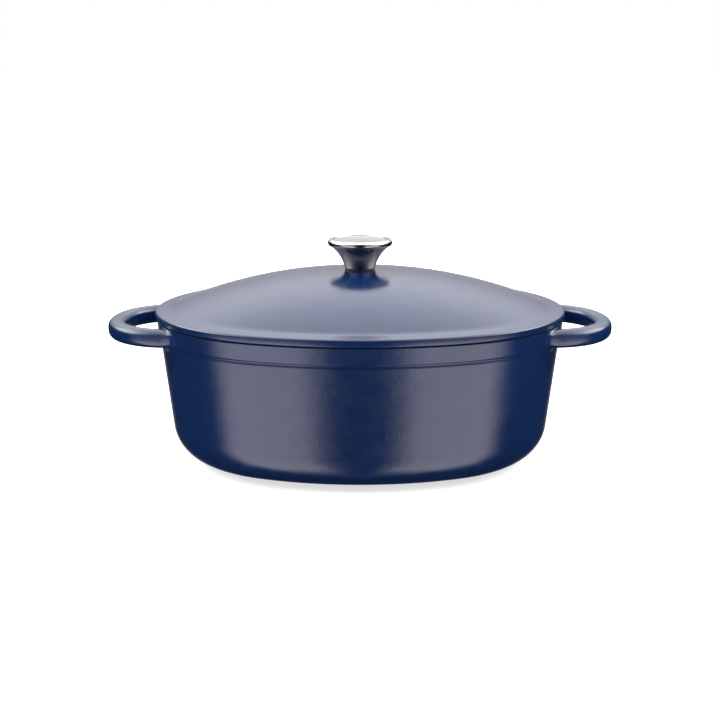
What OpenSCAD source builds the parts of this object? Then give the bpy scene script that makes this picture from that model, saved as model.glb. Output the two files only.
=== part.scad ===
// Oval cast iron casserole with two loop handles and a domed lid with a steel knob.
// Origin: middle of the flat base. +X along the handles, +Z up. Millimetres.

/* [Lid outline] */
// Length of the lid along the handles
lid_length = 345; // [320:1:370]
// Width of the lid across the handles
lid_width = 269; // [255:1:285]

/* [Pot] */
// Height of the pot's rim above the table
pot_height = 122; // [105:1:140]
// Slope of the wall away from vertical, in degrees
draft = 7.1; // [4:0.1:9]
// Thickness of the cast wall
wall_t = 4.5; // [3.5:0.1:6]
// Thickness of the cast floor
floor_t = 5; // [4:0.1:7]
// Outside radius between wall and floor
corner_r = 33; // [25:1:38]
// Height of the ground foot under the floor
foot_h = 1.2; // [0.8:0.1:2]
// Height of the raised collar around the rim
collar_h = 14; // [10:0.5:18]
// How far the collar stands out from the wall
collar_proud = 0.9; // [0.5:0.1:1.4]

/* [Handles] */
// Distance between the outer ends of the two handles
overall_length = 426.6; // [410:0.2:440]
// Half width of a loop across the pot, to the middle of its bar
loop_half_width = 55.2; // [48:0.1:60]
// Reach of a loop from its own centre, to the middle of its bar
loop_reach = 49.2; // [46:0.1:52]
// Width of the bar, seen from above
bar_w = 15.2; // [13:0.2:16.4]
// Height of the bar
bar_h = 15.2; // [13:0.2:16.4]
// Radius on the bar's edges
bar_round = 6.2; // [4:0.2:6.4]
// Depth of the bar's middle below the rim
bar_drop = 9; // [8.5:0.1:11]

/* [Lid] */
// Thickness of the lid's edge
lid_edge_h = 6.4; // [5:0.1:8]
// Radius on the lid's upper edge
lid_edge_round = 2.5; // [1.5:0.1:3]
// Height of the dome above the brim
dome_rise = 32.7; // [28:0.1:38]
// Width of the flat brim outside the dome, at the ends and sides
brim_w = 13; // [11:0.5:15]
// Thickness of the dome
dome_t = 4.5; // [4:0.1:6]
// Radius of the dome's crown, along the lid
crown_r = 470; // [440:1:500]
// Depth of the ring that centres the lid in the pot
lip_depth = 4; // [3:0.1:6]

/* [Knob] */
// Height of the knob above its seat ring
knob_height = 25; // [22:0.1:28]
// Diameter of the knob at its top rim
knob_top_d = 54.6; // [50:0.2:58]
// Diameter of the knob's base
knob_base_d = 25.6; // [24:0.2:28]
// Radius of the rounded top rim
knob_rim_r = 3.2; // [2.6:0.1:3.6]
// Thickness of the knob's steel shell
knob_skin = 1.4; // [1:0.1:2]
// Nominal diameter of the knob screw
screw_d = 6; // [5:1:6]
// Length of the knob screw under its head
screw_length = 20; // [18:1:22]

/* [Hidden] */
$fn = 120;
enamel = [0.07, 0.11, 0.27];
steel = [0.72, 0.72, 0.74];
zinc = [0.62, 0.62, 0.64];
seat_black = [0.06, 0.06, 0.06];

// An oval is four arcs: two at the ends and two along the sides. The centres of the arcs stand
// 5 units along and 12 units across, so neighbours are 13 units apart and meet in a tangent.
lid_a = lid_length / 2;
lid_b = lid_width / 2;
function unit(a, b) = (a - b) / 4;
function end_x(a, b) = 5 * unit(a, b);
function side_y(a, b) = 12 * unit(a, b);
function end_radius(a, b) = b - unit(a, b);
function side_radius(a, b) = end_radius(a, b) + 13 * unit(a, b);

// Pot: offsets are measured outwards from the lid's outline, so they are negative inside it.
wall_inset = 1.8;
rim_round = 1.8;
inner_corner_r = corner_r - wall_t;
foot_inset = 4;
section_reach = 70;
// Depth that a straight run is sunk into the arc that it meets, so that the two cross cleanly.
sink = 0.02;
wedge_h = pot_height + 40;
floor_overlap = 5;
function wall_x(z) = -wall_inset - (pot_height - z) * tan(draft);
function inner_x(z) = wall_x(z) - wall_t / cos(draft);

// Handles
bar_z = pot_height - bar_drop;
loop_x = overall_length / 2 - bar_w / 2 - loop_reach;
loop_cut = wall_inset + wall_t / 2;

// Lid
lid_gap = 0.2;
lid_low = pot_height + lid_gap;
brim_z = lid_low + lid_edge_h;
low_edge_round = 1;
lip_clear = 1;
lip_w = 4;
lip_x = inner_x(pot_height - lip_depth) - lip_clear;
rebate_x = -25;
rebate_z = brim_z - 2.4;
dome_a = lid_a - brim_w;
dome_b = lid_b - brim_w;
apex_z = brim_z + dome_rise;
dome_low = brim_z - 3;
crown_reach = 60;
// The crown and flank arcs cross at this small angle, in degrees, so that they meet in one line.
arc_kink = 0.4;
flank_lead = 4;
crown_angle = asin(crown_reach / crown_r);
crown_drop = crown_r * (1 - cos(crown_angle));
flank_start = crown_angle - arc_kink;
flank_chord = norm([dome_a - crown_reach, dome_rise - crown_drop]);
flank_angle = atan2(dome_rise - crown_drop, dome_a - crown_reach);
flank_r = flank_chord / (2 * sin(flank_angle - flank_start));
flank_x = crown_reach - flank_r * sin(flank_start);
flank_z = apex_z - crown_drop - flank_r * cos(flank_start);

// Knob and its fastening, stacked along the lid's middle axis
seat_ring_t = 0.8;
knob_z = apex_z + seat_ring_t;
knob_base_r = knob_base_d / 2;
seat_r = knob_base_r + 0.4;
pad_r = 11;
pad_t = 0.6;
pad_z = apex_z - dome_t - pad_t;
flare_r = 32;
flare_z = -6.6;
flare_x = knob_base_r + sqrt(flare_r * flare_r - flare_z * flare_z);
rim_z = knob_height - knob_rim_r;
rim_x = knob_top_d / 2 - knob_rim_r;
rim_touch_x = rim_x + knob_rim_r * (flare_x - rim_x) / norm([flare_x - rim_x, rim_z - flare_z]);
cap_r = 22;
cap_t = 1.6;
cap_ledge = 1.6;
cap_drop = 0.5;
fit_gap = 0.1;
insert_r = 6;
insert_h = 14;
insert_flange_r = 9;
insert_flange_t = 1.6;
screw_r = screw_d / 2;
thread_gap = 0.03;
hole_r = screw_r + 0.4;
head_r = 6;
head_h = 3.6;
head_edge = 1;
cross_w = 1.4;
cross_l = 6;
cross_depth = 2;
flat_washer_r = 9;
flat_washer_t = 1.5;
spring_washer_r = 5.6;
spring_washer_t = 1.6;
spring_washer_slit = 1.2;
washer_z = pad_z - flat_washer_t;
spring_z = washer_z - spring_washer_t;

// Carries a section around an oval of half length a and half width b.
// The section's x runs outwards from the oval and its y runs up.
module oval_sweep(a, b) {
    ray = b / 5;
    far_x = end_x(a, b) + 5 * ray;
    far_y = 12 * ray;
    for (end = [0, 1])
        mirror([end, 0, 0])
            intersection() {
                translate([end_x(a, b), 0, 0])
                    rotate_extrude() translate([end_radius(a, b), 0]) children();
                wedge([[end_x(a, b), 0], [far_x, -far_y], [2 * far_x, 0], [far_x, far_y]]);
            }
    for (side = [0, 1])
        mirror([0, side, 0])
            intersection() {
                translate([0, side_y(a, b), 0])
                    rotate_extrude() translate([side_radius(a, b), 0]) children();
                wedge([[0, side_y(a, b)], [-far_x, -far_y], [far_x, -far_y]]);
            }
}

// A tall prism that keeps one arc's share of an oval.
module wedge(points) {
    linear_extrude(2 * wedge_h, center = true) polygon(points);
}

// The lid's oval as a flat outline, drawn in by an inset all round.
module oval_plan(inset) {
    side_r = side_radius(lid_a, lid_b) - inset;
    end_r = end_radius(lid_a, lid_b) - inset;
    join_x = end_x(lid_a, lid_b) + end_r * 5 / 13;
    intersection() {
        translate([0, side_y(lid_a, lid_b)]) circle(side_r);
        translate([0, -side_y(lid_a, lid_b)]) circle(side_r);
        square([2 * join_x, lid_width], center = true);
    }
    for (s = [-1, 1])
        translate([s * end_x(lid_a, lid_b), 0]) circle(end_r);
}

// Everything inside a drafted wall that turns into a flat floor through one arc.
module basin_section(skin, floor_z, radius, top_z) {
    arc_z = floor_z + radius;
    arc_x = wall_x(arc_z) - (skin + radius) / cos(draft);
    translate([arc_x, arc_z]) circle(radius);
    polygon([
        [-section_reach - skin, floor_z],
        [arc_x, floor_z],
        [arc_x + (radius - sink) * cos(draft), arc_z - (radius - sink) * sin(draft)],
        [wall_x(top_z) - skin / cos(draft), top_z],
        [-section_reach - skin, top_z]
    ]);
}

module collar_section() {
    low = pot_height - collar_h;
    round_z = pot_height - rim_round;
    round_x = wall_x(round_z) + collar_proud - rim_round / cos(draft);
    inside_x = inner_x(low) - wall_t;
    polygon([
        [inside_x, low - 1],
        [wall_x(low) - 1, low - 1],
        [wall_x(low + collar_proud) + collar_proud, low + collar_proud],
        [round_x + (rim_round - sink) * cos(draft), round_z - (rim_round - sink) * sin(draft)],
        [round_x, pot_height],
        [inside_x, pot_height]
    ]);
    translate([round_x, round_z]) circle(rim_round);
}

module foot_section() {
    arc_x = wall_x(foot_h + corner_r) - corner_r / cos(draft);
    translate([-section_reach, 0])
        square([section_reach + arc_x + foot_inset, foot_h + 0.3]);
}

module pot_section() {
    difference() {
        union() {
            basin_section(0, foot_h, corner_r, pot_height - collar_h / 2);
            collar_section();
            foot_section();
        }
        basin_section(wall_t, foot_h + floor_t, inner_corner_r, pot_height + 1);
        translate([-2 * section_reach, -1]) square([section_reach, pot_height + 2]);
    }
}

module bar_section() {
    half_w = bar_w / 2 - bar_round;
    half_h = bar_h / 2 - bar_round;
    square([bar_w, 2 * half_h], center = true);
    square([2 * half_w, bar_h], center = true);
    for (sx = [-1, 1])
        for (sy = [-1, 1])
            translate([sx * half_w, sy * half_h]) circle(bar_round);
}

module handle_loop() {
    difference() {
        translate([loop_x, 0, bar_z])
            rotate([0, 0, 90])
                oval_sweep(loop_half_width, loop_reach) bar_section();
        translate([0, 0, bar_z - bar_h]) linear_extrude(2 * bar_h) oval_plan(loop_cut);
    }
}

module pot_body() {
    color(enamel) {
        oval_sweep(lid_a, lid_b) pot_section();
        linear_extrude(foot_h + floor_t) oval_plan(section_reach - floor_overlap);
        for (side = [0, 1])
            mirror([side, 0, 0]) handle_loop();
    }
}

module brim_section() {
    polygon([
        [rebate_x, rebate_z],
        [lip_x - lip_w, lid_low],
        [-low_edge_round, lid_low],
        [0, lid_low + low_edge_round],
        [0, brim_z - lid_edge_round],
        [-lid_edge_round, brim_z],
        [rebate_x, brim_z]
    ]);
    translate([-low_edge_round, lid_low + low_edge_round]) circle(low_edge_round);
    translate([-lid_edge_round, brim_z - lid_edge_round]) circle(lid_edge_round);
    translate([lip_x - lip_w, pot_height - lip_depth]) square([lip_w, lip_depth + 1]);
}

// Half of the dome's cross-section: a flat crown arc, then a more curved flank arc.
module dome_section(skin) {
    intersection() {
        union() {
            intersection() {
                translate([0, apex_z - crown_r]) circle(crown_r - skin, $fn = 720);
                square([crown_reach + flank_lead, lid_length]);
            }
            intersection() {
                translate([flank_x, flank_z]) circle(flank_r - skin, $fn = 720);
                translate([crown_reach - flank_lead, 0]) square(lid_length);
            }
        }
        translate([0, dome_low]) square(lid_length);
    }
}

module lid() {
    color(enamel)
        difference() {
            union() {
                oval_sweep(lid_a, lid_b) brim_section();
                scale([1, dome_b / dome_a, 1])
                    rotate_extrude($fn = 240)
                        difference() {
                            dome_section(0);
                            dome_section(dome_t);
                        }
                translate([0, 0, apex_z - dome_t / 2]) cylinder(h = dome_t / 2, r = seat_r);
                translate([0, 0, pad_z]) cylinder(h = dome_t / 2, r = pad_r);
            }
            translate([0, 0, pad_z - 1]) cylinder(h = dome_t + pad_t + 2, r = hole_r);
        }
}

module ring(outer_r, inner_r, h) {
    difference() {
        cylinder(h = h, r = outer_r);
        translate([0, 0, -1]) cylinder(h = h + 2, r = inner_r);
    }
}

module knob_seat_ring() {
    color(seat_black)
        translate([0, 0, apex_z]) ring(knob_base_r - 0.3, hole_r, seat_ring_t);
}

// Half of the knob's outline: a flared stem that ends in a rounded rim.
module knob_outline() {
    difference() {
        union() {
            square([rim_x, knob_height]);
            square([rim_touch_x, rim_z]);
        }
        translate([flare_x, flare_z]) circle(flare_r);
    }
    translate([rim_x, rim_z]) circle(knob_rim_r);
}

module knob_hollow() {
    difference() {
        translate([0, knob_skin]) square([cap_r - cap_ledge, knob_height]);
        translate([flare_x, flare_z]) circle(flare_r + knob_skin);
    }
}

module knob_shell() {
    cap_low = knob_height - cap_drop - cap_t;
    color(steel)
        translate([0, 0, knob_z])
            rotate_extrude()
                difference() {
                    knob_outline();
                    knob_hollow();
                    translate([0, cap_low]) square([cap_r + fit_gap, knob_height]);
                    translate([0, -1]) square([insert_r + fit_gap, knob_skin + 2]);
                }
}

module knob_cap() {
    color(steel)
        translate([0, 0, knob_z + knob_height - cap_drop - cap_t])
            cylinder(h = cap_t, r = cap_r);
}

module knob_insert() {
    color(zinc)
        translate([0, 0, knob_z])
            difference() {
                union() {
                    cylinder(h = insert_h, r = insert_r);
                    translate([0, 0, knob_skin])
                        cylinder(h = insert_flange_t, r = insert_flange_r);
                }
                translate([0, 0, -1]) cylinder(h = insert_h - 1, r = screw_r + thread_gap);
            }
}

module knob_screw() {
    color(zinc)
        difference() {
            translate([0, 0, spring_z]) {
                cylinder(h = screw_length, r = screw_r);
                translate([0, 0, -head_h + head_edge]) cylinder(h = head_h - head_edge, r = head_r);
                translate([0, 0, -head_h])
                    cylinder(h = head_edge, r1 = head_r - head_edge, r2 = head_r);
            }
            for (turn = [0, 90])
                rotate([0, 0, turn])
                    translate([-cross_l / 2, -cross_w / 2, spring_z - head_h - 1])
                        cube([cross_l, cross_w, cross_depth + 1]);
        }
}

module spring_washer() {
    color(zinc)
        difference() {
            translate([0, 0, spring_z]) ring(spring_washer_r, hole_r - 0.2, spring_washer_t);
            translate([0, -spring_washer_slit / 2, spring_z - 1])
                cube([spring_washer_r + 1, spring_washer_slit, spring_washer_t + 2]);
        }
}

module flat_washer() {
    color(zinc)
        translate([0, 0, washer_z]) ring(flat_washer_r, hole_r - 0.1, flat_washer_t);
}

pot_body();
lid();
knob_seat_ring();
knob_shell();
knob_cap();
knob_insert();
knob_screw();
spring_washer();
flat_washer();
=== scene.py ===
"""Looks of the oval cast iron casserole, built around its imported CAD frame."""
import math

import bmesh
import bpy
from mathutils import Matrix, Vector


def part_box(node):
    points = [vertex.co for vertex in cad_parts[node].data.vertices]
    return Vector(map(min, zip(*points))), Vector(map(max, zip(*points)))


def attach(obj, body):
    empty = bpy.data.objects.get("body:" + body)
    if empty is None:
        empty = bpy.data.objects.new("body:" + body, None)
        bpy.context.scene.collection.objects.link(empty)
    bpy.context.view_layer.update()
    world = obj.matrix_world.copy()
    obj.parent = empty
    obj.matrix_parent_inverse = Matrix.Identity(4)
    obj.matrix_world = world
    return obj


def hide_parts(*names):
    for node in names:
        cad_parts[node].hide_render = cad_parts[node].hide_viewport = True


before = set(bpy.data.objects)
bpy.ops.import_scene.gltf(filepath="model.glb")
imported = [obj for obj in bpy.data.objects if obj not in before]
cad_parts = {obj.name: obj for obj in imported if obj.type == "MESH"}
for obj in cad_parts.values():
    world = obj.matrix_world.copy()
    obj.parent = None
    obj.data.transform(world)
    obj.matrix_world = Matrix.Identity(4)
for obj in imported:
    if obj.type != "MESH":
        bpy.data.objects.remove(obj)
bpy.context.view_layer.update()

# Shapes are worked out in millimetres and turned into metres when a mesh is made.
MM = 0.001

# The lid's outline is four arcs: their centres stand 5 units along and 12 units across.
lid_low, lid_high = (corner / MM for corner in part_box("lid"))
pot_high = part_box("pot_body")[1] / MM
shell_low, shell_high = (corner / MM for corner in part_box("knob_shell"))
cap_low, cap_high = (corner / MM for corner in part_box("knob_cap"))
UNIT = (lid_high.x - lid_high.y) / 4
END_X = 5 * UNIT
SIDE_Y = 12 * UNIT
END_R = lid_high.y - UNIT
SIDE_R = END_R + 13 * UNIT
JOIN_ANGLE = math.atan2(12, 5)
AROUND = 360

# Pot
RIM_Z = pot_high.z
DRAFT = math.radians(7.1)
WALL_T = 4.5
FLOOR_T = 5.0
CORNER_R = 33.0
FOOT_H = 1.2
FOOT_INSET = 1.0
FOOT_ROUND = 0.5
COLLAR_Z = RIM_Z - 14
COLLAR_PROUD = 0.9
WALL_INSET = 1.8
GROOVE_DEPTH = 0.4
# Heights from the collar's lower edge: where the groove sinks, where it ends, where the collar steps out.
GROOVE_FALL = (-3.4, -1.0)
GROOVE_END = (-0.6, 0.3)
COLLAR_RISE = (-0.6, 0.9)
RIM_ROUND = 0.5
INNER_RIM_ROUND = 1.2
BARE_FOOT = 0.4
BARE_RIM_OUTSIDE = 0.45
BARE_RIM_INSIDE = 0.7
FLOOR_SCALES = (0.12, 0.3, 0.5, 0.68, 0.82, 0.92)

# Handles
BAR_W = 15.2
BAR_H = 15.2
BAR_ROUND = 6.2
BAR_Z = RIM_Z - 9
LOOP_REACH = 49.2
LOOP_X = pot_high.x - BAR_W / 2 - LOOP_REACH
LOOP_TIP_SHIFT = -18.0
LOOP_TIP_R = LOOP_REACH - LOOP_TIP_SHIFT
LOOP_SIDE_Y = 7.5
LOOP_SIDE_R = LOOP_TIP_R - 19.5
LOOP_JOIN = math.degrees(math.atan2(5, 12))
LOOP_STEPS = 30
COVE_OUTER = 8.0
COVE_INNER = 6.5
COVE_ABOVE = 1.0
COVE_BELOW = 4.0
# How far the bar's last rings stand off the wall. The last one lies inside it.
ROOT_GAPS = (13, 10.5, 8.5, 7, 5.7, 4.6, 3.6, 2.7, 1.9, 1.2, 0.65, 0.3, 0.08, -2.2)

# Lid
SEAM_Z = RIM_Z + 0.2
BRIM_Z = SEAM_Z + 8.15
APEX_Z = lid_high.z
LIP_Z = lid_low.z
CREASE_IN = 13.2
DOME_POWER_ALONG = 2.08
DOME_POWER_ACROSS = 2.3
CREASE_SOFT = 0.35
DOME_FOOT_SLOPE = 0.5
# Between these radii, the dome's rings change from circles to the lid's oval.
DOME_ROUND_TO_OVAL = (14, 45)
DOME_RINGS = [15, 17, 20, 24, 29, 35, 42, 50, 59, 68, 77, 86, 95, 103, 110, 116, 121, 125]
BRIM_SLOPE = 0.13
BRIM_INSETS = (12.9, 12.5, 12, 11.3, 10.4, 9.2, 7.8, 6.2, 4.8, 3.6, 2.6)
DOME_T = 4.5
DOME_FOOT_EXTRA_T = 0.9
LID_EDGE_ROUND = 2.0
LID_LOW_ROUND = 2.3
LIP_OUT = -7.83
LIP_W = 4.0
LIP_ROUND = 0.7
SEAT_R = 13.0
PAD_R = 11.0
PAD_Z = APEX_Z - 5.1
HOLE_R = 3.4

# Knob: heights are above the shell's foot, and the flare is an arc centred outside it.
KNOB_H = shell_high.z - shell_low.z
KNOB_BASE_R = 12.8
KNOB_BORE_R = 6.1
FLARE_R = 32.0
FLARE_Z = -6.6
FLARE_X = KNOB_BASE_R + math.sqrt(FLARE_R ** 2 - FLARE_Z ** 2)
KNOB_RIM_R = 3.2
KNOB_RIM_X = shell_high.x - KNOB_RIM_R
KNOB_RIM_Z = KNOB_H - KNOB_RIM_R
KNOB_SKIN = 1.4
CAP_ROUND = 0.45
CAP_DISH = 0.45
CAP_DISH_R = 21.0
KNOB_AROUND = 144

# Studio: lengths are in metres, and directions in degrees from straight in front, to either side.
FRONT_LIGHTS = (11, 28, 59, 83)
SIDE_LIGHTS = (55, 85, 115, 140)
BACK_LIGHT = (150, 172)
LOWER_GLOW = 0.02
LOWER_TINT = (1.0, 0.93, 0.98)
FLOOR_SIZE = 12
FLOOR_GREY = 0.55
FLOOR_GLOW = 0.65
CAMERA_ELEVATION = 11.27
CAMERA_DISTANCE = 1.19
CAMERA_LENS = 70
CAMERA_SHIFT = -0.0634

# Places of the enamels in a piece's list of materials.
NAVY, RIM, CREAM = 0, 1, 2


# ---------------------------------------------------------------- shape helpers

def smooth(low, high, value):
    """Goes from 0 at low to 1 at high, with no kink at either end."""
    share = min(1.0, max(0.0, (value - low) / (high - low)))
    return share * share * (3 - 2 * share)


def spread(start, end, steps):
    """Evenly spaced values from start to end, both ends included."""
    return [start + (end - start) * i / steps for i in range(steps + 1)]


def arc(centre_x, centre_z, radius, start, end, steps):
    """Points on an arc, with its angles in degrees."""
    return [
        (centre_x + radius * math.cos(math.radians(a)), centre_z + radius * math.sin(math.radians(a)))
        for a in spread(start, end, steps)
    ]


def oval_point(turn, out):
    """The point that lies `out` outside the lid's outline, where the outline faces the angle turn."""
    c, s = math.cos(turn), math.sin(turn)
    if abs(s) <= math.sin(JOIN_ANGLE):
        centre, radius = (math.copysign(END_X, c), 0.0), END_R
    else:
        centre, radius = (0.0, -math.copysign(SIDE_Y, s)), SIDE_R
    return centre[0] + (radius + out) * c, centre[1] + (radius + out) * s


def turns(count):
    """Evenly spaced angles of one full turn, in radians."""
    return [2 * math.pi * i / count for i in range(count)]


def oval_row(out, z, scale=1.0):
    """A ring of points around the oval, at one height."""
    row = []
    for turn in turns(AROUND):
        x, y = oval_point(turn, out)
        row.append((x * scale, y * scale, z))
    return row


def make_object(name, bm, materials):
    """A smooth-shaded object in the scene, from a bmesh."""
    bmesh.ops.recalc_face_normals(bm, faces=bm.faces)
    for face in bm.faces:
        face.smooth = True
    mesh = bpy.data.meshes.new(name)
    bm.to_mesh(mesh)
    bm.free()
    for material in materials:
        mesh.materials.append(material)
    obj = bpy.data.objects.new(name, mesh)
    bpy.context.scene.collection.objects.link(obj)
    return obj


def skin(rows, zones, closed):
    """A closed mesh over rings of points. The ends are joined, or each is closed with a fan."""
    bm = bmesh.new()
    rings = [[bm.verts.new(Vector(p) * MM) for p in row] for row in rows]
    pairs = list(zip(rings, rings[1:]))
    if closed:
        pairs.append((rings[-1], rings[0]))
    for (near, far), zone in zip(pairs, zones):
        count = len(near)
        for i in range(count):
            j = (i + 1) % count
            bm.faces.new((near[i], near[j], far[j], far[i])).material_index = zone
    if not closed:
        for ring, zone in ((rings[0], zones[0]), (rings[-1], zones[-1])):
            middle = bm.verts.new(sum((v.co for v in ring), Vector()) / len(ring))
            for i, vert in enumerate(ring):
                bm.faces.new((vert, ring[(i + 1) % len(ring)], middle)).material_index = zone
    return bm


# ---------------------------------------------------------------- pot

def wall_out(z):
    """Where the wall's outer face lies, measured outwards from the lid's outline."""
    return -WALL_INSET - (RIM_Z - z) * math.tan(DRAFT)


def inner_out(z):
    """Where the wall's inner face lies."""
    return wall_out(z) - WALL_T / math.cos(DRAFT)


def collar_step(z):
    """How far the outside stands out from the wall's own line: a shallow groove, then the collar."""
    height = z - COLLAR_Z
    groove = -GROOVE_DEPTH * smooth(*GROOVE_FALL, height) * (1 - smooth(*GROOVE_END, height))
    return groove + COLLAR_PROUD * smooth(*COLLAR_RISE, height)


def pot_outside():
    """The outside from the foot's edge to the top of the rim, as (out, z)."""
    arc_x = wall_out(FOOT_H + CORNER_R) - CORNER_R / math.cos(DRAFT)
    foot_x = arc_x + FOOT_INSET
    draft_deg = math.degrees(DRAFT)
    points = [(foot_x - 3, 0), (foot_x - 1, 0)]
    points += arc(foot_x - FOOT_ROUND, FOOT_ROUND, FOOT_ROUND, -90, 0, 4)
    points += [(foot_x, 0.9), (foot_x + 0.2, 1.15)]
    points += arc(arc_x, FOOT_H + CORNER_R, CORNER_R, -86, -draft_deg, 28)
    lowest = points[-1][1]
    points += [(wall_out(z), z) for z in spread(lowest, COLLAR_Z - 3.8, 16)[1:]]
    points += [(wall_out(z) + collar_step(z), z) for z in spread(COLLAR_Z - 3.4, COLLAR_Z + 1, 22)]
    round_z = RIM_Z - RIM_ROUND
    round_x = wall_out(round_z) + COLLAR_PROUD - RIM_ROUND / math.cos(DRAFT)
    points += [(wall_out(z) + COLLAR_PROUD, z) for z in spread(COLLAR_Z + 2, round_z - 0.6, 6)]
    points += arc(round_x, round_z, RIM_ROUND, -draft_deg, 90, 8)
    return points


def pot_inside():
    """The inside from the rim's top to the edge of the flat floor, as (out, z)."""
    radius = CORNER_R - WALL_T
    floor_z = FOOT_H + FLOOR_T
    arc_z = floor_z + radius
    arc_x = wall_out(arc_z) - (WALL_T + radius) / math.cos(DRAFT)
    draft_deg = math.degrees(DRAFT)
    top_x = inner_out(RIM_Z) - INNER_RIM_ROUND
    points = arc(top_x + 2 * INNER_RIM_ROUND, RIM_Z - INNER_RIM_ROUND, INNER_RIM_ROUND, 90, 180, 6)
    lowest = arc_z - radius * math.sin(DRAFT)
    points += [(inner_out(z), z) for z in spread(RIM_Z - 3, lowest + 3, 16)]
    points += arc(arc_x, arc_z, radius, -draft_deg, -90, 22)
    return points


def pot_mesh(materials):
    """The pot's casting: underside, outside, rim, inside and floor, as one skin."""
    outside, inside = pot_outside(), pot_inside()
    rows, zones = [], []

    def add(out, z, zone, scale=1.0):
        rows.append(oval_row(out, z, scale))
        zones.append(zone)

    for scale in FLOOR_SCALES:
        add(outside[0][0], 0, RIM, scale)
    for out, z in outside:
        bare = z > RIM_Z - BARE_RIM_OUTSIDE or z < BARE_FOOT
        add(out, z, RIM if bare else NAVY)
    for out, z in inside:
        add(out, z, RIM if z > RIM_Z - BARE_RIM_INSIDE else CREAM)
    for scale in reversed(FLOOR_SCALES):
        add(inside[-1][0], inside[-1][1], CREAM, scale)
    return make_object("pot", skin(rows, zones, closed=False), materials)


# ---------------------------------------------------------------- handles

def bar_section():
    """The bar's outline as (across, up, facing across, facing up)."""
    half_w, half_h = BAR_W / 2 - BAR_ROUND, BAR_H / 2 - BAR_ROUND
    points = []
    for corner in range(4):
        middle = 45 + 90 * corner
        cx = math.copysign(half_w, math.cos(math.radians(middle)))
        cz = math.copysign(half_h, math.sin(math.radians(middle)))
        for a in spread(middle - 45, middle + 45, 10):
            nx, nz = math.cos(math.radians(a)), math.sin(math.radians(a))
            points.append((cx + BAR_ROUND * nx, cz + BAR_ROUND * nz, nx, nz))
    return points


def loop_point(way, across, up):
    """A point beside the loop's middle line. way is in degrees to 90, then in mm straight on."""
    angle = math.radians(min(way, 90))
    c, s = math.cos(angle), math.sin(angle)
    if way <= LOOP_JOIN:
        x, y = LOOP_X + LOOP_TIP_SHIFT + LOOP_TIP_R * c, LOOP_TIP_R * s
    else:
        x, y = LOOP_X + LOOP_SIDE_R * c, LOOP_SIDE_Y + LOOP_SIDE_R * s
    x -= max(0.0, way - 90)
    return Vector((x + across * c, y + across * s, BAR_Z + up))


def gap_to_wall(p):
    """How far a point near the pot's end stands outside its wall."""
    return math.hypot(p.x - END_X, p.y) - (END_R + wall_out(p.z) + collar_step(p.z))


def way_at_gap(across, up, gap):
    """How far along the loop one line of the bar comes this near to the wall."""
    low, high = 30.0, 125.0
    for _ in range(40):
        middle = (low + high) / 2
        if gap_to_wall(loop_point(middle, across, up)) > gap:
            low = middle
        else:
            high = middle
    return low


def cove(gap, radius):
    """How far a cove of this radius spreads, at this distance from the wall."""
    share = min(1.0, max(0.0, gap / radius))
    return radius * (1 - math.sqrt(1 - (1 - share) ** 2))


def flared(p, facing_across, facing_up):
    """Spreads a point of the bar over the wall, where the bar runs into it."""
    gap = gap_to_wall(p)
    sideways = cove(gap, COVE_OUTER if facing_across > 0 else COVE_INNER) * facing_across
    upwards = cove(gap, COVE_ABOVE if facing_up > 0 else COVE_BELOW) * facing_up
    angle = math.atan2(p.y, p.x - END_X)
    return p + Vector((-math.sin(angle) * sideways, math.cos(angle) * sideways, upwards))


def handle_mesh(name, side, materials):
    """One loop handle: half of it from the tip to the wall, then its mirror image."""
    section = bar_section()
    half = []
    starts = [way_at_gap(a, u, ROOT_GAPS[0]) for a, u, _, _ in section]
    for k in range(LOOP_STEPS):
        half.append([loop_point(start * k / LOOP_STEPS, a, u)
                     for start, (a, u, _, _) in zip(starts, section)])
    for gap in ROOT_GAPS:
        half.append([flared(loop_point(way_at_gap(a, u, gap), a, u), na, nu)
                     for a, u, na, nu in section])
    mirrored = [[Vector((p.x, -p.y, p.z)) for p in ring] for ring in reversed(half[1:])]
    rows = [[(side * p.x, p.y, p.z) for p in ring] for ring in mirrored + half]
    return make_object(name, skin(rows, [NAVY] * len(rows), closed=False), materials)


def weld(target, others):
    """Joins solids into one closed skin."""
    for other in others:
        modifier = target.modifiers.new("weld", "BOOLEAN")
        modifier.operation = "UNION"
        modifier.solver = "EXACT"
        modifier.object = other
    depsgraph = bpy.context.evaluated_depsgraph_get()
    mesh = bpy.data.meshes.new_from_object(target.evaluated_get(depsgraph))
    target.modifiers.clear()
    target.data = mesh
    for other in others:
        bpy.data.objects.remove(other)
    for polygon in mesh.polygons:
        polygon.use_smooth = True


# ---------------------------------------------------------------- lid

def dome_z(share, across):
    """Height of the dome's top. share is 1 at the crease; across is 0 along the lid, 1 across it."""
    power = DOME_POWER_ALONG + (DOME_POWER_ACROSS - DOME_POWER_ALONG) * across
    height = (APEX_Z - BRIM_Z) * (1 - share ** power)
    return BRIM_Z + (height + math.hypot(height, 2 * CREASE_SOFT)) / 2


def brim_top(inset):
    """Height of the brim's top, which runs out of the dome's foot and falls towards the edge."""
    beyond = CREASE_IN - inset
    height = -DOME_FOOT_SLOPE * beyond
    return BRIM_Z - BRIM_SLOPE * beyond + (height + math.hypot(height, 2 * CREASE_SOFT)) / 2


CREASE = [oval_point(turn, -CREASE_IN) for turn in turns(AROUND)]
CREASE_LENGTHS = [math.hypot(*point) for point in CREASE]
CREASE_MEAN = sum(CREASE_LENGTHS) / len(CREASE_LENGTHS)


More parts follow.
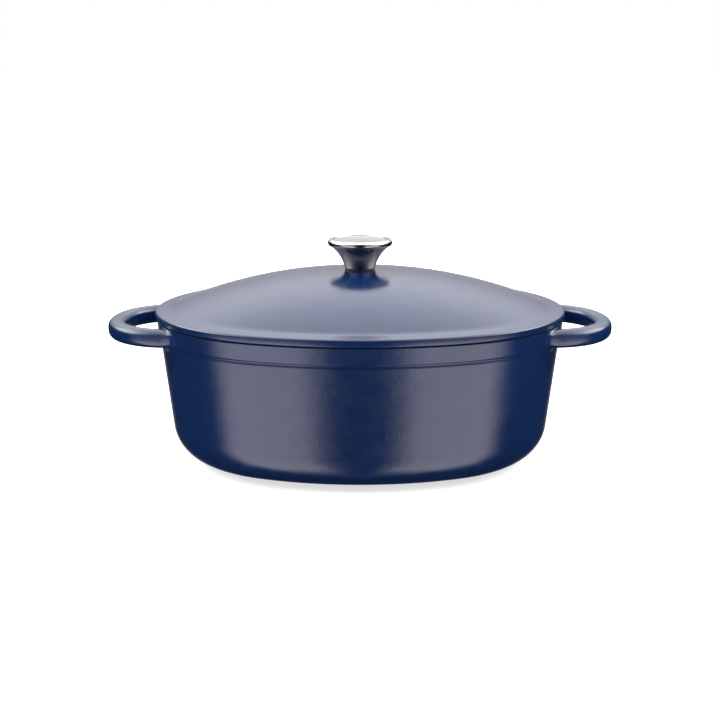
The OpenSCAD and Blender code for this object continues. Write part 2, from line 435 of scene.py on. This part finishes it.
def dome_row(mean, lift):
    """A ring of the dome. It is round near the bolt hole and follows the crease further out."""
    shape = smooth(*DOME_ROUND_TO_OVAL, mean)
    row = []
    for (x, y), length in zip(CREASE, CREASE_LENGTHS):
        radius = mean * (1 - shape) + shape * mean / CREASE_MEAN * length
        row.append((x / length * radius, y / length * radius, lift(radius / length, (y / length) ** 2)))
    return row


def lid_mesh(materials):
    """The lid's casting: top, brim, edge, lip and underside, closed through the bolt hole."""
    rows, zones = [], []

    def add(row, zone):
        rows.append(row)
        zones.append(zone)

    def under(share, across):
        return dome_z(share, across) - DOME_T - DOME_FOOT_EXTRA_T * smooth(0.9, 1.0, share)

    means = DOME_RINGS + spread(127, CREASE_MEAN, 10)
    for radius in (HOLE_R, 8, 12, SEAT_R):
        add(dome_row(radius, lambda share, across: APEX_Z), NAVY)
    for mean in means:
        add(dome_row(mean, dome_z), NAVY)
    for inset in BRIM_INSETS:
        add(oval_row(-inset, brim_top(inset)), NAVY)
    top_z = brim_top(LID_EDGE_ROUND)
    for out, z in arc(-LID_EDGE_ROUND, top_z - LID_EDGE_ROUND, LID_EDGE_ROUND, 90, 0, 9):
        add(oval_row(out, z), NAVY)
    for out, z in arc(-LID_LOW_ROUND, SEAM_Z + LID_LOW_ROUND, LID_LOW_ROUND, 0, -90, 6):
        add(oval_row(out, z), RIM if z < SEAM_Z + 0.2 else NAVY)
    add(oval_row(-4, SEAM_Z), RIM)
    add(oval_row(LIP_OUT + 0.4, SEAM_Z), RIM)
    add(oval_row(LIP_OUT, SEAM_Z - 0.4), RIM)
    inner = LIP_OUT - LIP_W
    for out, z in arc(LIP_OUT - LIP_ROUND, LIP_Z + LIP_ROUND, LIP_ROUND, 0, -90, 4):
        add(oval_row(out, z), RIM)
    for out, z in arc(inner + LIP_ROUND, LIP_Z + LIP_ROUND, LIP_ROUND, -90, -180, 4):
        add(oval_row(out, z), CREAM)
    add(oval_row(inner, SEAM_Z - 0.8), CREAM)
    add(oval_row(inner - 0.35, SEAM_Z + 0.2), CREAM)
    add(oval_row(inner - 1.2, SEAM_Z + 0.75), CREAM)
    for mean in reversed(means):
        add(dome_row(mean, under), CREAM)
    for radius in (PAD_R + 1.2, PAD_R + 0.5):
        add(dome_row(radius, under), CREAM)
    for radius in (PAD_R, 8, HOLE_R):
        add(dome_row(radius, lambda share, across: PAD_Z), CREAM)
    # The wall of the bolt hole, from the last ring back to the first, is dark.
    zones[-1] = RIM
    return make_object("lid_shell", skin(rows, zones, closed=True), materials)


# ---------------------------------------------------------------- knob

def lathe(name, profile, closed, materials):
    """A turned piece around the lid's middle axis, from (radius, z) points."""
    rows = [[(r * math.cos(t), r * math.sin(t), z) for t in turns(KNOB_AROUND)] for r, z in profile]
    return make_object(name, skin(rows, [0] * len(rows), closed), materials)


def knob_shell(materials):
    """Flared stem, rounded rim and the recess that takes the cap."""
    touch = math.degrees(math.atan2(FLARE_Z - KNOB_RIM_Z, FLARE_X - KNOB_RIM_X))
    low = math.degrees(math.asin(-FLARE_Z / FLARE_R))
    cap_r = cap_high.x + 0.1
    ledge_z = cap_low.z - shell_low.z
    points = [(KNOB_BORE_R, 0), (KNOB_BASE_R - 0.9, 0)]
    points += [(KNOB_BASE_R - 0.35, 0.08), (KNOB_BASE_R - 0.05, 0.35)]
    points += arc(FLARE_X, FLARE_Z, FLARE_R, 180 - low - 1.2, 180 + touch, 26)
    points += arc(KNOB_RIM_X, KNOB_RIM_Z, KNOB_RIM_R, touch, 90, 18)[1:]
    points += [(KNOB_RIM_X - 1.2, KNOB_H - 0.02), (cap_r + 0.25, KNOB_H - 0.08)]
    points += [(cap_r, KNOB_H - 0.3), (cap_r, ledge_z), (cap_r - 1.7, ledge_z)]
    inside = arc(FLARE_X, FLARE_Z, FLARE_R + KNOB_SKIN, 180 + touch + 3, 180 - low, 14)
    points += [(x, z) for x, z in inside if KNOB_SKIN + 0.2 < z < ledge_z - 1 and x < cap_r - 1.8]
    points += [(KNOB_BASE_R - KNOB_SKIN - 0.4, KNOB_SKIN), (KNOB_BORE_R, KNOB_SKIN)]
    points = [(x, z + shell_low.z) for x, z in points]
    return lathe("knob_shell_turned", points, True, materials)


def knob_cap(materials):
    """The cap: a disc with a rounded edge and a very shallow dish."""
    radius, top, low = cap_high.x, cap_high.z, cap_low.z
    points = [(4, low), (12, low), (radius - 0.3, low), (radius, low + 0.3), (radius, top - CAP_ROUND)]
    points += arc(radius - CAP_ROUND, top - CAP_ROUND, CAP_ROUND, 0, 90, 5)[1:]
    for r in (20.5, 19, 17, 15, 13, 11, 9, 7, 5, 3, 1.5):
        points.append((r, top - CAP_DISH * (1 - (r / CAP_DISH_R) ** 2)))
    return lathe("knob_cap_turned", points, False, materials)


# ---------------------------------------------------------------- materials

def new_material(name):
    """A node material: itself, its nodes, its links and its shader."""
    material = bpy.data.materials.new(name)
    material.use_nodes = True
    nodes = material.node_tree.nodes
    return material, nodes, material.node_tree.links, nodes["Principled BSDF"]


def noise(nodes, links, scale, detail, roughness=0.5, stretch=(1, 1, 1)):
    """Noise laid out in metres of the piece's own space."""
    place = nodes.new("ShaderNodeTexCoord")
    mapping = nodes.new("ShaderNodeMapping")
    mapping.inputs["Scale"].default_value = stretch
    texture = nodes.new("ShaderNodeTexNoise")
    texture.inputs["Scale"].default_value = scale
    texture.inputs["Detail"].default_value = detail
    texture.inputs["Roughness"].default_value = roughness
    links.new(place.outputs["Object"], mapping.inputs["Vector"])
    links.new(mapping.outputs["Vector"], texture.inputs["Vector"])
    return texture.outputs["Fac"]


def ramp(nodes, links, source, limits):
    """Turns a noise value into a number between two limits."""
    node = nodes.new("ShaderNodeMapRange")
    node.inputs["From Min"].default_value = 0.3
    node.inputs["From Max"].default_value = 0.7
    node.inputs["To Min"].default_value, node.inputs["To Max"].default_value = limits
    links.new(source, node.inputs["Value"])
    return node.outputs["Result"]


def blend_colours(nodes, links, source, first, second):
    """A colour between two others."""
    node = nodes.new("ShaderNodeMix")
    node.data_type = "RGBA"
    node.inputs["A"].default_value = (*first, 1)
    node.inputs["B"].default_value = (*second, 1)
    links.new(source, node.inputs["Factor"])
    return node.outputs["Result"]


def bump(nodes, links, shader, layers):
    """Stacks bumps given as (height, depth in metres)."""
    normal = None
    for height, depth in layers:
        node = nodes.new("ShaderNodeBump")
        node.inputs["Distance"].default_value = depth
        links.new(height, node.inputs["Height"])
        if normal:
            links.new(normal, node.inputs["Normal"])
        normal = node.outputs["Normal"]
    links.new(normal, shader.inputs["Normal"])


def enamel(name, dark, light, rough, peel, shine=0.5):
    """Fired enamel over cast iron: slightly uneven in colour and gloss, with an orange-peel skin."""
    material, nodes, links, shader = new_material(name)
    patches = ramp(nodes, links, noise(nodes, links, 28, 4), (0, 1))
    links.new(blend_colours(nodes, links, patches, dark, light), shader.inputs["Base Color"])
    links.new(ramp(nodes, links, noise(nodes, links, 90, 5), rough), shader.inputs["Roughness"])
    shader.inputs["IOR"].default_value = 1.5
    shader.inputs["Specular IOR Level"].default_value = shine
    bump(nodes, links, shader, [
        (noise(nodes, links, 45, 2), peel * 3),
        (noise(nodes, links, 150, 2, 0.4), peel),
        (noise(nodes, links, 600, 1, 0.4), peel * 0.9),
    ])
    return material


def metal(name, dark, light, rough, stretch, depth):
    """Metal with fine turning or polishing marks."""
    material, nodes, links, shader = new_material(name)
    marks = ramp(nodes, links, noise(nodes, links, 900, 3, 0.6, stretch), (0, 1))
    links.new(blend_colours(nodes, links, marks, dark, light), shader.inputs["Base Color"])
    shader.inputs["Metallic"].default_value = 1.0
    links.new(ramp(nodes, links, noise(nodes, links, 260, 4), rough), shader.inputs["Roughness"])
    bump(nodes, links, shader, [(noise(nodes, links, 900, 3, 0.6, stretch), depth)])
    return material


def rubber(name):
    """Matt black rubber with a fine grain."""
    material, nodes, links, shader = new_material(name)
    grain = ramp(nodes, links, noise(nodes, links, 1500, 3), (0, 1))
    links.new(blend_colours(nodes, links, grain, (0.006, 0.006, 0.007), (0.014, 0.014, 0.016)),
              shader.inputs["Base Color"])
    links.new(ramp(nodes, links, grain, (0.5, 0.7)), shader.inputs["Roughness"])
    bump(nodes, links, shader, [(noise(nodes, links, 1500, 3), 0.00002)])
    return material


# ---------------------------------------------------------------- studio

def world_value(nodes, links, source, low, high, start, end):
    """A soft step of a number: start below low, end above high."""
    node = nodes.new("ShaderNodeMapRange")
    node.interpolation_type = "SMOOTHSTEP"
    for socket, value in (("From Min", low), ("From Max", high), ("To Min", start), ("To Max", end)):
        node.inputs[socket].default_value = value
    links.new(source, node.inputs["Value"])
    return node.outputs["Result"]


def world_math(nodes, links, operation, first, second=None):
    """One sum on numbers or node outputs."""
    node = nodes.new("ShaderNodeMath")
    node.operation = operation
    for socket, value in zip(node.inputs, (first, second)):
        if value is None:
            continue
        if isinstance(value, (int, float)):
            socket.default_value = value
        else:
            links.new(value, socket)
    return node.outputs["Value"]


def studio_light():
    """A white ceiling all round, tall soft lights in front, strong ones beside, a dim one behind."""
    world = bpy.data.worlds.new("studio")
    bpy.context.scene.world = world
    world.use_nodes = True
    nodes, links = world.node_tree.nodes, world.node_tree.links
    nodes.clear()
    place = nodes.new("ShaderNodeTexCoord")
    split = nodes.new("ShaderNodeSeparateXYZ")
    links.new(place.outputs["Generated"], split.inputs["Vector"])
    x, y, z = split.outputs

    def maths(operation, first, second=None):
        return world_math(nodes, links, operation, first, second)

    def step(source, low, high, start, end):
        return world_value(nodes, links, source, low, high, start, end)

    # The direction of a ray: around is 0 in front and pi behind, z is 1 straight up.
    around = maths("ARCTAN2", maths("ABSOLUTE", x), maths("MULTIPLY", y, -1.0))

    def turn_step(low, high, start, end):
        return step(around, math.radians(low), math.radians(high), start, end)

    def band(start, full, fading, end):
        return maths("MULTIPLY", turn_step(start, full, 0, 1), turn_step(fading, end, 1, 0))

    height = maths("MULTIPLY", step(z, -1.0, -0.86, 0.06, 1), step(z, -0.38, -0.16, 3.4, 0.7))
    front = maths("MULTIPLY", band(*FRONT_LIGHTS), height)
    behind = maths("MULTIPLY", turn_step(*BACK_LIGHT, 0, 1), step(z, -0.6, -0.4, 0, 0.64))
    lower = maths("ADD", maths("ADD", front, behind), LOWER_GLOW)
    beside = maths("MULTIPLY", band(*SIDE_LIGHTS), step(z, 0.6, 0.9, 6.0, 0))
    upper = maths("ADD", step(z, 0.05, 0.8, 0.58, 3.5), beside)

    # The ceiling starts high up in front, lower at the sides and at the horizon behind.
    front_edge = turn_step(30, 75, 0.78, 0.25)
    back_edge = turn_step(125, 155, 0, 0.25)
    share = step(maths("SUBTRACT", maths("ADD", z, back_edge), front_edge), -0.02, 0.16, 0, 1)
    mix = nodes.new("ShaderNodeMix")
    links.new(share, mix.inputs["Factor"])
    links.new(lower, mix.inputs["A"])
    links.new(upper, mix.inputs["B"])
    lights = nodes.new("ShaderNodeBackground")
    links.new(blend_colours(nodes, links, share, LOWER_TINT, (1, 1, 1)), lights.inputs["Color"])
    links.new(mix.outputs["Result"], lights.inputs["Strength"])

    # The background itself is seen as plain white.
    backdrop = nodes.new("ShaderNodeBackground")
    backdrop.inputs["Color"].default_value = (1, 1, 1, 1)
    path = nodes.new("ShaderNodeLightPath")
    choose = nodes.new("ShaderNodeMixShader")
    links.new(path.outputs["Is Camera Ray"], choose.inputs["Fac"])
    links.new(lights.outputs["Background"], choose.inputs[1])
    links.new(backdrop.outputs["Background"], choose.inputs[2])
    output = nodes.new("ShaderNodeOutputWorld")
    links.new(choose.outputs["Shader"], output.inputs["Surface"])


def studio_floor():
    """A pale floor that glows faintly, so that the shadow on it stays light."""
    bm = bmesh.new()
    bmesh.ops.create_grid(bm, x_segments=1, y_segments=1, size=FLOOR_SIZE)
    material, _, _, shader = new_material("floor_paper")
    shader.inputs["Base Color"].default_value = (FLOOR_GREY, FLOOR_GREY, FLOOR_GREY, 1)
    shader.inputs["Emission Color"].default_value = (1, 1, 1, 1)
    shader.inputs["Emission Strength"].default_value = FLOOR_GLOW
    shader.inputs["Roughness"].default_value = 1.0
    shader.inputs["Specular IOR Level"].default_value = 0.0
    floor = make_object("floor", bm, [material])
    floor.visible_glossy = False


def camera():
    """The camera stands in front, a little above the lid, and looks at the seam."""
    target = Vector((0, 0, RIM_Z * MM))
    elevation = math.radians(CAMERA_ELEVATION)
    data = bpy.data.cameras.new("camera")
    data.sensor_width = 36
    data.lens = CAMERA_LENS
    data.shift_y = CAMERA_SHIFT
    obj = bpy.data.objects.new("camera", data)
    bpy.context.scene.collection.objects.link(obj)
    back = Vector((0, -math.cos(elevation), math.sin(elevation)))
    obj.location = target + back * CAMERA_DISTANCE
    obj.rotation_euler = (-back).to_track_quat("-Z", "Y").to_euler()
    bpy.context.scene.camera = obj
    bpy.context.scene.view_settings.view_transform = "Standard"


# ---------------------------------------------------------------- assembly

def place(piece, body, slot, *replaced):
    """Hands a piece to its body, in place of the CAD nodes that it covers."""
    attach(piece, body)
    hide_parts(*replaced)


def dress(node, material):
    """Gives a CAD node that stays in view its own material."""
    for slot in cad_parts[node].material_slots:
        slot.material = material


camera()
studio_light()
studio_floor()

navy = enamel("navy_enamel", (0.0008, 0.0088, 0.040), (0.0011, 0.0106, 0.048),
              rough=(0.17, 0.24), peel=0.00005)
black_rim = enamel("black_rim", (0.003, 0.0035, 0.005), (0.006, 0.0065, 0.008),
                   rough=(0.6, 0.75), peel=0.00004, shine=0.1)
cream = enamel("cream_enamel", (0.50, 0.465, 0.385), (0.56, 0.525, 0.445),
               rough=(0.14, 0.22), peel=0.00002)
steel = metal("turned_steel", (0.36, 0.345, 0.355), (0.43, 0.41, 0.42),
              rough=(0.14, 0.2), stretch=(1, 1, 6), depth=0.000002)
satin = metal("satin_steel", (0.50, 0.495, 0.49), (0.58, 0.575, 0.57),
              rough=(0.18, 0.26), stretch=(1, 8, 1), depth=0.000004)
zinc = metal("zinc_plate", (0.50, 0.51, 0.53), (0.64, 0.65, 0.66),
             rough=(0.28, 0.42), stretch=(1, 1, 1), depth=0.000006)
seat = rubber("seat_rubber")

enamels = [navy, black_rim, cream]
pot = pot_mesh(enamels)
weld(pot, [handle_mesh("handle_right", 1, enamels), handle_mesh("handle_left", -1, enamels)])
place(pot, "pot", "enamel", "pot_body")
place(lid_mesh(enamels), "lid", "enamel", "lid")
place(knob_shell([steel]), "lid", "polished_steel", "knob_shell")
place(knob_cap([satin]), "lid", "satin_steel", "knob_cap")
dress("knob_seat_ring", seat)
for node in ("knob_insert", "knob_screw", "spring_washer", "flat_washer"):
    dress(node, zinc)
